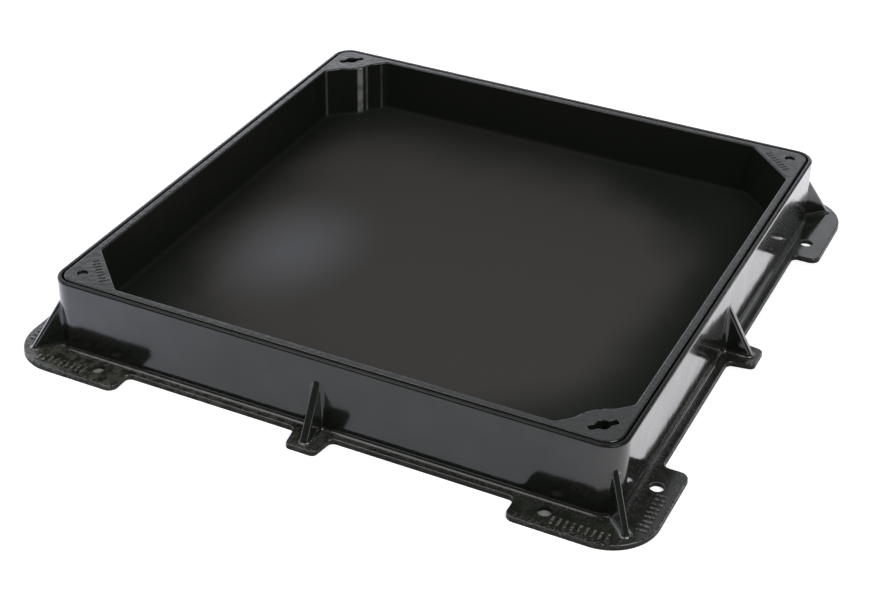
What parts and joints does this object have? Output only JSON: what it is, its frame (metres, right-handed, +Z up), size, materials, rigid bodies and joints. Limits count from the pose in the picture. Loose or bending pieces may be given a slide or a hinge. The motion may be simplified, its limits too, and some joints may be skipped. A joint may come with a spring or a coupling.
{
  "type": "recessed manhole cover",
  "caption": "Square cast-iron access cover: a flanged frame with ribbed walls and bolt-down corner pads, holding a lift-out tray that takes a paving infill.",
  "frame": {"origin": "middle of the frame's underside, at ground level", "axes": "+Z up; X along the front wall; Y towards the back wall"},
  "size_m": [0.741, 0.741, 0.0916],
  "materials": {
    "frame_coating": "gloss black coating",
    "cover_coating": "gloss black coating, satin on the tray floor"
  },
  "bodies": {
    "root": {"frame": "frame_coating", "recessed_cover": "cover_coating"}
  },
  "joints": []
}
